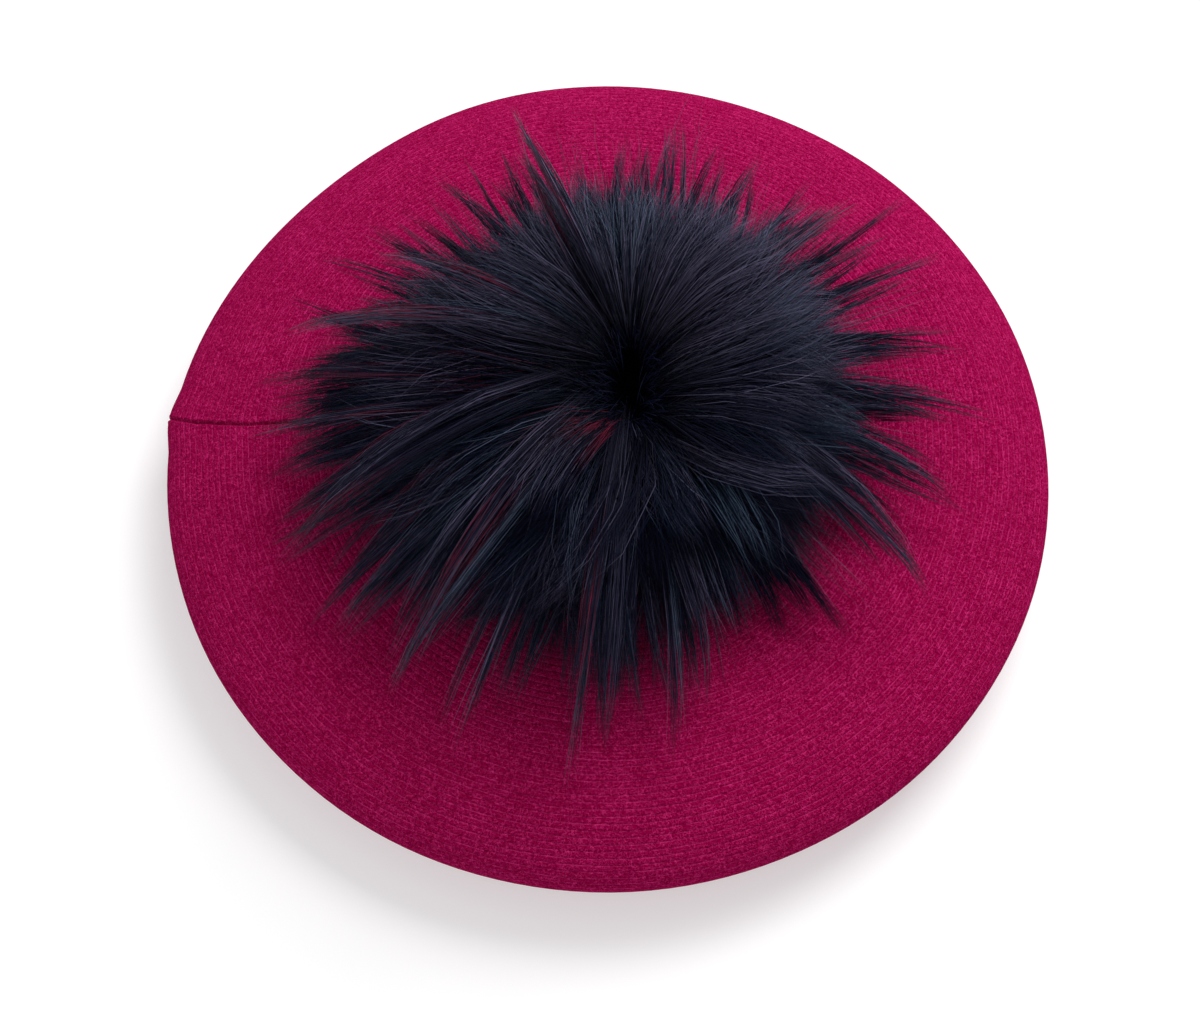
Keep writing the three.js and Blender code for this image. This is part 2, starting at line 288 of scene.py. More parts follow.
class Value:
    """A node's output. Python's operators on it add Math nodes."""

    def __init__(self, finish, socket):
        self.finish = finish
        self.socket = socket

    def output(self, name):
        """Another output of the same node."""
        return Value(self.finish, self.socket.node.outputs[name])

    def maths(self, operation, *others):
        """One Math node on this value and the others."""
        return self.finish.node("ShaderNodeMath", {"operation": operation}, dict(enumerate((self, *others))))

    def clamped(self, low=0.0, high=1.0):
        """The value, held between low and high."""
        return self.maths("MAXIMUM", low).maths("MINIMUM", high)

    def __add__(self, other):
        return self.maths("ADD", other)

    def __radd__(self, other):
        return self.maths("ADD", other)

    def __sub__(self, other):
        return self.maths("SUBTRACT", other)

    def __rsub__(self, other):
        return self.maths("MULTIPLY", -1) + other

    def __mul__(self, other):
        return self.maths("MULTIPLY", other)

    def __rmul__(self, other):
        return self.maths("MULTIPLY", other)

    def __pow__(self, other):
        return self.maths("POWER", other)

    def __abs__(self):
        return self.maths("ABSOLUTE")


class Finish:
    """A material in the making: one Principled shader, and the nodes that feed it."""

    def __init__(self, name, constants):
        self.material = bpy.data.materials.new(name)
        self.material.use_nodes = True
        self.tree = self.material.node_tree
        self.shader = self.tree.nodes["Principled BSDF"]
        for socket, constant in constants.items():
            self.shader.inputs[socket].default_value = constant

    def join(self, given, socket):
        """Links a value to a socket, or sets the socket to a constant."""
        if isinstance(given, Value):
            self.tree.links.new(given.socket, socket)
        else:
            socket.default_value = given

    def node(self, kind, settings=None, sockets=None, output=0):
        """Any node: its settings first, then the values or links of its sockets."""
        made = self.tree.nodes.new(kind)
        for name, setting in (settings or {}).items():
            setattr(made, name, setting)
        for name, given in (sockets or {}).items():
            self.join(given, made.inputs[name])
        return Value(self, made.outputs[output])

    def feed(self, socket, value):
        """Joins a value to one of the shader's own sockets."""
        self.join(value, self.shader.inputs[socket])

    def mix(self, share, first, second):
        """The first colour at a share of 0, and the second at 1."""
        return self.node("ShaderNodeMix", {"data_type": "RGBA"}, {0: share, 6: first, 7: second}, output=2)

    def noise(self, place, scale, detail=2.0):
        """Soft noise between 0 and 1, with scale spots a metre and finer ones for each step of detail."""
        return self.node("ShaderNodeTexNoise", None, {"Vector": place, "Scale": scale, "Detail": detail})

    def object_place(self):
        """Where a point lies on its piece, in metres."""
        return self.node("ShaderNodeTexCoord", output="Object")


def make_mesh(name, points, faces, material, corner_maps=None, tints=None):
    """A smooth-shaded mesh object from arrays: faces all have the same number of corners."""
    faces = np.asarray(faces)
    mesh = bpy.data.meshes.new(name)
    mesh.vertices.add(len(points))
    mesh.vertices.foreach_set("co", np.asarray(points, np.float32).ravel())
    mesh.loops.add(faces.size)
    mesh.loops.foreach_set("vertex_index", faces.astype(np.int32).ravel())
    mesh.polygons.add(len(faces))
    mesh.polygons.foreach_set("loop_start", np.arange(0, faces.size, faces.shape[1], dtype=np.int32))
    for map_name, corners in (corner_maps or {}).items():
        layer = mesh.uv_layers.new(name=map_name)
        layer.uv.foreach_set("vector", np.asarray(corners, np.float32).ravel())
    if tints is not None:
        colours = mesh.color_attributes.new("tint", "FLOAT_COLOR", "POINT")
        colours.data.foreach_set("color", np.insert(tints, 3, 1.0, axis=1).astype(np.float32).ravel())
    mesh.update(calc_edges=True)
    mesh.shade_smooth()
    mesh.materials.append(material)
    piece = bpy.data.objects.new(name, mesh)
    bpy.context.scene.collection.objects.link(piece)
    return piece


def grid_faces(rows, columns, closed_rows=True):
    """Quads between rows of points that each run round the axis. The last row joins the first when closed."""
    row = np.arange(rows if closed_rows else rows - 1)[:, None]
    column = np.arange(columns)[None, :]
    after = (column + 1) % columns
    below = (row + 1) % rows
    near, far = row * columns, below * columns
    corners = (near + column, far + column, far + after, near + after)
    return np.stack(np.broadcast_arrays(*corners), axis=-1).reshape(-1, 4)


# The knitting

class KnitSettings(bpy.types.PropertyGroup):
    """Sizes and colours of the knitted body."""

    radius: FloatProperty(
        name="Radius", description="Half of the beret's width", default=140 * MM, unit="LENGTH")
    rim_level: FloatProperty(
        name="Rim level", description="Height of the widest ring", default=19 * MM, unit="LENGTH")
    crown_top: FloatProperty(
        name="Crown top", description="Height of the crown's middle", default=BODY_HIGH.z, unit="LENGTH")
    flat_radius: FloatProperty(
        name="Flat radius", description="Where the underside turns flat", default=118 * MM, unit="LENGTH")
    opening_radius: FloatProperty(
        name="Opening radius", description="Radius of the head opening", default=87 * MM, unit="LENGTH")
    wall: FloatProperty(
        name="Wall", description="Thickness of the knitting", default=2.6 * MM, unit="LENGTH")
    wale: FloatProperty(
        name="Wale", description="Distance between two rings of stitches", default=2.05 * MM, unit="LENGTH")
    stitch: FloatProperty(
        name="Stitch", description="Length of one stitch along its ring", default=1.4 * MM, unit="LENGTH")
    relief: FloatProperty(
        name="Relief", description="How far a ring stands over its groove", default=0.12 * MM, unit="LENGTH")
    seam_azimuth: FloatProperty(
        name="Seam", description="Direction of the radial seam", default=math.radians(178.4), subtype="ANGLE")
    seam_sweep: FloatProperty(
        name="Seam sweep", description="How far the seam bends aside at the rim", default=math.radians(3.1),
        subtype="ANGLE")
    sweep_radius: FloatProperty(
        name="Sweep radius", description="Where the seam starts to bend", default=98 * MM, unit="LENGTH")
    seam_depth: FloatProperty(
        name="Seam depth", description="Depth of the seam's crease", default=1.1 * MM, unit="LENGTH")
    # wool is the raised yarn's colour and shade is painted shade between the stitches; fuzz_highlight is the
    # fibres' wool colour lifted as painted highlight
    wool: FloatVectorProperty(
        name="Wool", description="Colour of the raised yarn", default=(0.285, 0.0, 0.050), subtype="COLOR")
    shade: FloatVectorProperty(
        name="Shade", description="Colour between the stitches", default=(0.150, 0.0, 0.024), subtype="COLOR")
    fuzz_highlight: FloatVectorProperty(
        name="Fuzz", description="Colour of the fibres that stand off the yarn", default=(0.60, 0.026, 0.17),
        subtype="COLOR")


def crown_height(radius, knit, inset=0.0):
    """The outer surface's height over a radius, or the inner one's for an inset of the wall."""
    share = np.minimum(1, radius / (knit.radius - inset))
    rise = knit.crown_top - inset - knit.rim_level
    return knit.rim_level + rise * np.sqrt(1 - share ** CROWN_ROUNDNESS)


def shell_side(knit, inset, inner_end):
    """Points of one side of the body's section, from the crown's middle to the flat underside."""
    angle = np.linspace(0, math.pi / 2, 500)
    crown_radius = (knit.radius - inset) * np.sin(angle)
    crown = np.stack([crown_radius, crown_height(crown_radius, knit, inset)], axis=1)
    roll = knit.radius - knit.flat_radius - inset
    drop = knit.rim_level - inset
    under = np.stack([knit.flat_radius + roll * np.cos(angle), knit.rim_level - drop * np.sin(angle)], axis=1)
    flat_radii = np.linspace(knit.flat_radius, inner_end, 60)
    flat = np.stack([flat_radii, np.full_like(flat_radii, inset)], axis=1)
    return np.concatenate([crown, under[1:], flat[1:]])


def along_line(line):
    """How far each point of a line is from its start, and the line's length."""
    along = np.insert(np.cumsum(np.linalg.norm(np.diff(line, axis=0), axis=1)), 0, 0)
    return along, along[-1]


def at_distances(line, distances):
    """Points of a line at these distances from its start, and the directions to its left there."""
    along, _ = along_line(line)
    slope = np.gradient(line, along, axis=0)
    places = np.stack([np.interp(distances, along, column) for column in line.T], axis=-1)
    slopes = np.stack([np.interp(distances, along, column) for column in slope.T], axis=-1)
    slopes /= np.linalg.norm(slopes, axis=-1, keepdims=True)
    return places, np.stack([-slopes[..., 1], slopes[..., 0]], axis=-1)


def hump(azimuth, middle, half_width):
    """1 at the middle of a hump and 0 past its ends, for azimuths in degrees."""
    away = np.abs((azimuth - middle + 540) % 360 - 180)
    return np.where(away < half_width, (1 + np.cos(math.pi * np.minimum(away / half_width, 1))) / 2, 0)


def ripple(azimuth, along, seed, waves=9, longest=0.09):
    """A smooth uneven field between about -1 and 1 round the axis and along the section."""
    rng = np.random.default_rng(seed)
    field = 0
    for wave in range(waves):
        turns = int(rng.integers(1, 4 + 2 * wave))
        pace = 2 * math.pi / (longest / (1 + wave * rng.uniform(0.3, 0.9)))
        field = field + np.sin(turns * azimuth + pace * along + rng.uniform(0, 6.28)) / (1 + 0.35 * wave)
    return field / 2.6


def sector_azimuths(knit, even=156, fine=40, fine_reach=math.radians(2.4)):
    """Azimuths of the mesh's sectors, close together at the seam."""
    start = knit.seam_azimuth + fine_reach
    end = knit.seam_azimuth - fine_reach + 2 * math.pi
    return np.concatenate([
        np.linspace(start, end, even, endpoint=False),
        np.linspace(end, start + 2 * math.pi, fine, endpoint=False),
    ])


def seam_relief(azimuth, radius, knit):
    """How far the seam's crease, its two lips and the pull round it move the surface outwards."""
    wander = 0.12 * MM * np.sin(radius / (3.1 * MM)) + 0.07 * MM * np.sin(radius / (1.3 * MM))
    aside = radius * np.sin(azimuth - knit.seam_azimuth) + wander
    depth = knit.seam_depth * (1 - 0.4 * smooth_step(radius, *SEAM_SHALLOW))
    crease = -depth * np.exp(-(aside / CREASE_WIDTH) ** 2)
    lips = LIP_HEIGHT * np.exp(-((np.abs(aside) - LIP_ASIDE) / LIP_WIDTH) ** 2)
    pull = -PULL_DEPTH * np.exp(-(aside / PULL_WIDTH) ** 2)
    near = np.cos(azimuth - knit.seam_azimuth) > 0
    return np.where(near, crease + lips + pull, 0) * smooth_step(radius, *SEAM_START)


def placed(section, outwards, azimuths, raised, knit):
    """Section points turned about the axis and moved outwards by raised.

    They get the uneven outline, and bend aside with the seam at the rim.
    """
    radius = section[..., 0]
    degrees = np.degrees(azimuths)
    bulge = sum(height * hump(degrees, middle, width) for middle, width, height in OUTLINE_HUMPS)
    bulge = bulge * smooth_step(radius, OUTLINE_INNER_RADIUS, OUTLINE_OUTER_RADIUS)
    radius = np.maximum(radius + bulge + raised * outwards[..., 0], 0.2 * MM)
    height = section[..., 1] + raised * outwards[..., 1]
    outer_share = np.clip((section[..., 0] - knit.sweep_radius) / (knit.radius - knit.sweep_radius), 0, 1)
    swept = azimuths - knit.seam_sweep * outer_share ** 3 * (1 + np.cos(azimuths - knit.seam_azimuth)) / 2
    places = np.stack([radius * np.cos(swept), radius * np.sin(swept), height], axis=-1)
    return places + AXIS


def ringed_outside(knit, line, distances, azimuths):
    """The outside: each ring of stitches stands over its groove, wanders a little, and dips at the seam."""
    length = distances[-1]
    along = distances[:, None]
    # The rings don't wander at the crown's middle or at the opening's edge
    free = smooth_step(distances, 4 * MM, 20 * MM) * smooth_step(distances, length, length - WANDER_FADE)
    free = free[:, None]
    wander = RING_WANDER * ripple(azimuths, along, 3) * free
    section, outwards = at_distances(line, along + wander)
    height = section[..., 1]
    in_groove = np.arange(len(distances)) % ROWS_PER_RING == 0
    ridge = np.where(in_groove, -0.5, 0.5)[:, None] * knit.relief
    ridge = ridge * smooth_step(height, -1 * MM, 0.4 * MM)
    soft = SOFT_SWELL * ripple(azimuths, along, 8, waves=6, longest=0.16) * free
    seam = seam_relief(azimuths, section[..., 0], knit)
    seam = seam * smooth_step(distances, length, length - SEAM_FADE)[:, None]
    raised = ridge + soft * (height > 1 * MM) + seam
    return placed(section, outwards, azimuths, raised, knit), section[:, 0, 0]


def stitch_map(knit, corner_rows, turned, ring_of_row, radius_of_row, outer_rows):
    """A map that counts stitches round each ring, and rings along the section."""
    row = corner_rows[:, 0]
    first_of_ring = np.minimum((row // ROWS_PER_RING) * ROWS_PER_RING, len(radius_of_row) - 1)
    radius = np.where(row < outer_rows, radius_of_row[first_of_ring], radius_of_row[row])
    stitches = np.maximum(np.round(2 * math.pi * radius / knit.stitch), 6)
    return np.stack([stitches[:, None] * turned, ring_of_row[corner_rows]], axis=-1)


def disc_map(corner_rows, turned, run_of_row, first_inner_row, outer_reach, inner_reach):
    """The bake's map, with the outside and the inside as two flat discs."""
    is_inner = np.arange(len(run_of_row)) >= first_inner_row
    inner_face = (is_inner[corner_rows[:, 0]] | is_inner[corner_rows[:, 1]])[:, None]
    run = np.where(inner_face & ~is_inner[corner_rows], inner_reach, run_of_row[corner_rows])
    run = run * np.where(inner_face, INNER_DISC[1] / inner_reach, OUTER_DISC[1] / outer_reach)
    middle = np.where(inner_face, INNER_DISC[0], OUTER_DISC[0])
    angle = 2 * math.pi * turned
    return np.stack([middle + run * np.cos(angle), middle + run * np.sin(angle)], axis=-1)


def knit_body(knit):
    """The crown and its turned-under brim: rings of stitches outside, plain purl side inside."""
    edge = knit.wall / 2
    turn = np.linspace(0, math.pi, 14)[1:-1]
    lip = np.stack([knit.opening_radius + edge - edge * np.sin(turn), edge - edge * np.cos(turn)], axis=1)
    outside = shell_side(knit, 0, knit.opening_radius + edge)
    inside = shell_side(knit, knit.wall, knit.opening_radius + edge)
    _, outer_length = along_line(outside)
    _, inner_length = along_line(inside)
    rings = round(outer_length / knit.wale)
    outer_rows = np.linspace(HOLE_RADIUS, outer_length, rings * ROWS_PER_RING + 1)
    lip_rows = np.arange(1, len(lip) + 1) * edge * math.pi / len(lip)
    inner_rows = np.linspace(inner_length, HOLE_RADIUS, INNER_ROWS)
    azimuths = sector_azimuths(knit)[None, :]
    columns = azimuths.shape[1]

    outer, outer_radii = ringed_outside(knit, outside, outer_rows, azimuths)
    inner_line, _ = at_distances(inside, inner_rows)
    parts = [outer]
    for line in (lip, inner_line):
        section = np.broadcast_to(line[:, None, :], (len(line), columns, 2))
        parts.append(placed(section, np.zeros_like(section), azimuths, 0, knit))
    points = np.concatenate(parts)

    rows = len(points)
    row, column = np.divmod(np.arange(rows * columns), columns)
    below = np.minimum(row + 1, rows - 1)
    corner_rows = np.stack([row, below, below, row], axis=1)
    around = np.append((azimuths[0] - azimuths[0, 0]) / (2 * math.pi), 1.0)
    turned = around[column[:, None] + (0, 0, 1, 1)]
    ring_of_row = np.concatenate([
        np.arange(len(outer_rows)) / ROWS_PER_RING,
        rings + lip_rows / knit.wale,
        rings + 2 + (inner_length - inner_rows) / knit.wale,
    ])
    radius_of_row = np.concatenate([outer_radii, lip[:, 0], inner_line[:, 0]])
    run_of_row = np.concatenate([outer_rows, outer_length + lip_rows, inner_rows])
    maps = {
        "stitches": stitch_map(knit, corner_rows, turned, ring_of_row, radius_of_row, len(outer_rows)),
        "OFBake": disc_map(corner_rows, turned, run_of_row, len(outer_rows) + len(lip),
                           outer_length + edge * math.pi, inner_length),
    }
    faces = grid_faces(rows, columns)
    piece = make_mesh("knitted_body", points.reshape(-1, 3), faces, wool_finish(knit), maps)
    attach(piece, "root")
    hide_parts("beret_body")
    return piece


WOOL_GLOSS = {
    "Roughness": 0.9,
    "Specular IOR Level": 0.0,
    "Sheen Weight": 0.05,
    "Sheen Roughness": 0.5,
    "Sheen Tint": (1.0, 0.04, 0.28, 1.0),
}


def fuzzed(finish, knit, yarn, place, line_light=0.0):
    """Wool colour for yarn, painted shade at 0 in the gaps and the yarn's colour at 1 on top, under curly
    fibres whose lighter colour is painted highlight.
    """
    curl = finish.noise(place, FIBRE_SCALE, 1.0)
    line = (1 - abs(curl - 0.5) * 13).maths("MAXIMUM", 0.0)
    patch = ((finish.noise(place, PATCH_SCALE, 1.0) - 0.26) * 2.4).clamped()
    # The share of the fibres' painted highlight, and of the painted highlight along the grooves
    fibre = line * patch * 0.95 + line_light
    body = finish.mix(yarn.clamped(), (*knit.shade, 1.0), (*knit.wool, 1.0))
    finish.feed("Base Color", finish.mix(fibre, body, (*knit.fuzz_highlight, 1.0)))
    return line


def wool_finish(knit):
    """Fine fuzzy stockinette: two slanting legs a stitch, ring by ring, under a haze of fibre, with painted
    shade between the stitches and painted highlights on the fibres and along the grooves.
    """
    finish = Finish("wool_knitting", WOOL_GLOSS)
    place = finish.object_place()
    across = finish.node("ShaderNodeUVMap", {"uv_map": "stitches"})
    split = finish.node("ShaderNodeSeparateXYZ", None, {0: across})
    u = split + (finish.noise(place, STITCH_WAVER_SCALE) - 0.5) * 1.4
    v = split.output("Y") + (finish.noise(place, RING_WAVER_SCALE) - 0.5) * 0.22
    ring = abs((v * math.pi).maths("SINE"))
    leg = abs((v * (2 * math.pi)).maths("SINE"))
    side = abs(v.maths("FRACT") - 0.5) * 2
    bead = ((u + side * 0.45).maths("FRACT") * math.pi).maths("SINE")
    loop = leg * (bead * 0.8 + 0.2)
    grain = finish.noise(place, GRAIN_SCALE, 3.0)
    cloud = finish.noise(place, CLOUD_SCALE, 3.0)
    # Painted shade: the yarn falls to the shade colour in the gaps between stitches, and grain and cloud add
    # the wool's own uneven tone
    string = (ring * (bead * 0.6 + 0.4)) ** 1.4
    yarn = string * 0.5 + loop * 0.3 + (grain - 0.5) * 1.15 + (cloud - 0.5) * 0.3 + 0.14
    broken = ((finish.noise(place, BREAK_SCALE, 3.0) - 0.34) * 4).clamped()
    region = ((cloud - 0.32) * 3).clamped(0.55)
    # Painted highlight: broken light fibre lines along the grooves between rings and between legs
    groove_highlight = (1 - ring) ** 5 + (1 - leg) ** 8 * 0.5
    line = fuzzed(finish, knit, yarn, place, groove_highlight * broken * region)
    finish.feed("Normal", finish.node("ShaderNodeBump", None, {
        "Strength": 0.75,
        "Distance": 0.5 * MM,
        "Height": (ring ** 0.7) * 0.35 + string * 0.35 + loop * 0.25 + (grain - 0.5) * 0.5 + line * 0.2,
    }))
    return finish.material


class BERET_OT_knit_body(bpy.types.Operator):
    """Knit the crown and its turned-under brim"""

    bl_idname = "beret.knit_body"
    bl_label = "Knitted Body"

    def execute(self, context):
        knit_body(context.scene.beret_knit)
        return {"FINISHED"}


# The head band

class BandSettings(bpy.types.PropertyGroup):
    """Sizes of the ribbed band at the head opening."""

    ribs: IntProperty(name="Ribs", description="Ribs round the band", default=264, min=24)
    thickness: FloatProperty(
        name="Thickness", description="Thickness of the doubled band", default=3.4 * MM, unit="LENGTH")
    relief: FloatProperty(
        name="Relief", description="How far a rib stands over its groove", default=0.35 * MM, unit="LENGTH")


def band_section(inner, outer, height):
    """The doubled band's section, from its foot up the near side and down the far one, with round corners."""
    low, high = BAND_ROUNDING, height - BAND_ROUNDING
    near, far = inner + BAND_ROUNDING, outer - BAND_ROUNDING
    quarter = np.linspace(0, math.pi / 2, 4)
    corners = []
    for radius, rise, start in ((near, low, 1.5), (near, high, 1.0), (far, high, 0.5), (far, low, 0.0)):
        angle = start * math.pi - quarter
        corner = (radius + BAND_ROUNDING * np.cos(angle), rise + BAND_ROUNDING * np.sin(angle))
        corners.append(np.stack(corner, axis=1))
    flat = np.linspace(low, high, 4)[1:-1]
    near_wall = np.stack([np.full_like(flat, inner), flat], axis=1)
    far_wall = np.stack([np.full_like(flat, outer), flat[::-1]], axis=1)
    return np.concatenate([corners[0], near_wall, corners[1], corners[2], far_wall, corners[3]])


def head_band(band, knit):
    """A doubled ribbed band, with rounded edges, that stands at the opening inside the hollow."""
    height = BAND_HIGH.z - BAND_LOW.z
    outer = (BAND_HIGH.x - BAND_LOW.x) / 2
    inner = outer - band.thickness
    section = band_section(inner, outer, height)
    columns = band.ribs * 2
    azimuths = np.linspace(0, 2 * math.pi, columns, endpoint=False)[None, :]
    rib = np.where(np.arange(columns) % 2 == 0, -1.0, 0.0)[None, :] * band.relief
    # A rib stands out sideways, and only a little at the band's edges
    outwards = (section - ((inner + outer) / 2, height / 2)) * (1, 0.15)
    outwards /= np.linalg.norm(outwards, axis=1, keepdims=True)
    rows = len(section)
    spread = np.broadcast_to(section[:, None, :], (rows, columns, 2))
    points = placed(spread, np.broadcast_to(outwards[:, None, :], spread.shape), azimuths, rib, knit)
    piece = make_mesh("ribbed_head_band", points.reshape(-1, 3), grid_faces(rows, columns)[:, ::-1],
                      rib_finish(knit))
    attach(piece, "root")
    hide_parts("head_band")
    return piece


def rib_finish(knit):
    """The same wool knitted in ribs: short stitches stacked up each rib, with painted shade between the
    stitches and painted highlights on the fibres.
    """
    finish = Finish("wool_ribbing", WOOL_GLOSS)
    place = finish.object_place()
    up = finish.node("ShaderNodeSeparateXYZ", None, {0: place}).output("Z")
    waver = finish.noise(place, RIB_WAVER_SCALE)
    course = abs(((up * (math.pi / knit.stitch)) + waver * 2.5).maths("SINE"))
    grain = finish.noise(place, RIB_GRAIN_SCALE, 3.0)
    line = fuzzed(finish, knit, course * 0.6 + (grain - 0.5) * 1.1 + 0.25, place)
    finish.feed("Normal", finish.node("ShaderNodeBump", None, {
        "Strength": 0.8,
        "Distance": 0.35 * MM,
        "Height": course + (grain - 0.5) * 0.6 + line * 0.12,
    }))
    return finish.material


class BERET_OT_head_band(bpy.types.Operator):
    """Knit the ribbed band at the head opening"""

    bl_idname = "beret.head_band"
    bl_label = "Head Band"

    def execute(self, context):
        head_band(context.scene.beret_band, context.scene.beret_knit)
        return {"FINISHED"}


# The button under the crown

class BERET_OT_button_finish(bpy.types.Operator):
    """Give the button under the crown its moulded finish"""

    bl_idname = "beret.button_finish"
    bl_label = "Button Finish"

    def execute(self, context):
        finish = Finish("moulded_button", {"Specular IOR Level": 0.5})
        place = finish.object_place()
        grain = finish.noise(place, BUTTON_GRAIN_SCALE, 4.0)
        cloud = finish.noise(place, BUTTON_CLOUD_SCALE)
        finish.feed("Base Color", finish.mix(cloud, BUTTON_DARK, BUTTON_PALE))
        finish.feed("Roughness", 0.34 + grain * 0.22)
        finish.feed("Normal", finish.node("ShaderNodeBump", None, {
            "Strength": 0.3,
            "Distance": 0.05 * MM,
            "Height": grain,
        }))
        slots = frame["nodes"]["pompom_button"].material_slots
        slots[0].material = finish.material
        return {"FINISHED"}


# The fur

class FurSettings(bpy.types.PropertyGroup):
    """Sizes and colours of the pompom."""

    hub_height: FloatProperty(
        name="Hub height", description="Height of the place that the hairs leave", default=55 * MM,
        unit="LENGTH")
    lean: FloatProperty(
        name="Lean", description="How far the hub stands aside of the crown's middle", default=7 * MM,
        unit="LENGTH")
    hub_radius: FloatProperty(
        name="Hub radius", description="Radius of the ball that the hairs leave", default=18 * MM,
        unit="LENGTH")
    under_hairs: IntProperty(
        name="Under hairs", description="Hairs that fill the coat", default=13000, min=100)
    hairs: IntProperty(name="Hairs", description="Hairs in the coat's locks", default=19000, min=1000)
    locks: IntProperty(name="Locks", description="Locks that the coat gathers in", default=250, min=40)
    parting_shift: FloatProperty(
        name="Parting shift", description="How far the parting lies in front of the hub", default=4 * MM,
        unit="LENGTH")
    parting_reach: FloatProperty(
        name="Parting reach", description="Half of the parting's length", default=10 * MM, unit="LENGTH")
    hair_width: FloatProperty(
        name="Hair width", description="Width of a hair at its thickest", default=0.25 * MM, unit="LENGTH")
    wisp_hairs: IntProperty(name="Wisp hairs", description="Hairs in each wisp of a tuft", default=26, min=4)
    small_tufts: IntProperty(
        name="Small tufts", description="Short tufts between the long ones", default=104, min=1)
    loose_hairs: IntProperty(
        name="Loose hairs", description="Single hairs over the knitting", default=5200, min=10)
    navy: FloatVectorProperty(
        name="Navy", description="Main colour of the fur", default=(0.0026, 0.0040, 0.0185), subtype="COLOR")
    slate: FloatVectorProperty(
        # slate is the paler hairs' colour, and also the painted light at the coat's back and the painted
        # sheen of its pale locks
        name="Slate", description="Colour of paler hairs and tips", default=(0.150, 0.136, 0.232),
        subtype="COLOR")
    teal: FloatVectorProperty(
        name="Teal", description="Colour of cool locks", default=(0.004, 0.014, 0.032), subtype="COLOR")
    burgundy: FloatVectorProperty(
        name="Burgundy", description="Colour of warm locks", default=(0.21, 0.014, 0.042), subtype="COLOR")


def hub(fur):
    """The place that the hairs leave."""
    return AXIS + (fur.lean, 0, fur.hub_height)


def mixed(first, second, share):
    """The first at a share of 0, and the second at 1."""
    return first * (1 - share) + second * share


def hair_colour(fur, tone, cool):
    """A colour a hair for its paleness and its coolness, both 0 to 1."""
    dark = mixed(np.array(fur.navy), np.array(fur.teal), cool * 0.6)
    pale = mixed(np.array(fur.slate), np.array(fur.slate) * COOL_SLATE, cool)
    return mixed(dark, pale, tone)


def hair_finish():
    """Long soft hair: each hair's colour with its painted shade and light, a soft gloss, and fine streaks
    along it.
    """
    finish = Finish("long_fur", {"Specular IOR Level": 0.08, "Specular Tint": (0.6, 0.7, 1.0, 1.0)})
    tint = finish.node("ShaderNodeAttribute", {"attribute_name": "tint"}, output="Color")
    streak = finish.noise(finish.object_place(), STREAK_SCALE)
    finish.feed("Base Color", finish.mix(streak * 0.5, tint, STREAK_DARK))
    finish.feed("Roughness", 0.36 + streak * 0.25)
    return finish.material


def shaded_felt_finish():
    """The near-black under-fur that closes the gaps between the hairs, painted shade for the shade deep
    inside the coat.
    """
    finish = Finish("under_fur", {"Specular IOR Level": 0.05, "Roughness": 0.95})
    clump = finish.noise(finish.object_place(), CLUMP_SCALE, 4.0)
    finish.feed("Base Color", finish.mix(clump, FELT_SHADE_DARK, FELT_SHADE_PALE))
    finish.feed("Normal", finish.node("ShaderNodeBump", None, {
        "Strength": 0.6,
        "Distance": 1.0 * MM,
        "Height": clump,
    }))
    return finish.material


def fur_core(fur):
    """The felted middle of the pompom, dimpled at its top, near-black as painted shade."""
    section = np.array(CORE_SECTION) * MM
    along, length = along_line(section)
    runs = np.linspace(0, length, CORE_ROWS)
    spread = np.stack([np.interp(runs, along, column) for column in section.T], axis=1)
    azimuths = np.linspace(0, 2 * math.pi, CORE_SECTORS, endpoint=False)[None, :]
    lumps = 1 + 0.05 * ripple(azimuths, runs[:, None], 21, waves=10, longest=0.05)
    radius = np.maximum(spread[:, 0, None], 0.05 * MM) * lumps
    height = np.broadcast_to(spread[:, 1, None], radius.shape)
    points = np.stack([radius * np.cos(azimuths), radius * np.sin(azimuths), height], axis=-1) + hub(fur)
    faces = grid_faces(CORE_ROWS, CORE_SECTORS, closed_rows=False)[:, ::-1]
    piece = make_mesh("fur_core", points.reshape(-1, 3), faces, shaded_felt_finish())
    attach(piece, "root")
    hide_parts("pompom")
    return piece


def hair_corners(rings):
    """A hair's triangles: for each corner, how many knots up it is, and how many thirds round."""
    kinds = [((0, 0.5), (1, 1), (1, 0))]
    for ring in range(1, rings):
        kinds.append(((ring, 0), (ring, 1), (ring + 1, 1)))
        kinds.append(((ring, 0), (ring + 1, 1), (ring + 1, 0)))
    kinds.append(((rings, 0), (rings, 1), (rings + 1, 0.5)))
    return np.array([[(up, third + side) for up, third in kind] for kind in kinds for side in range(3)])


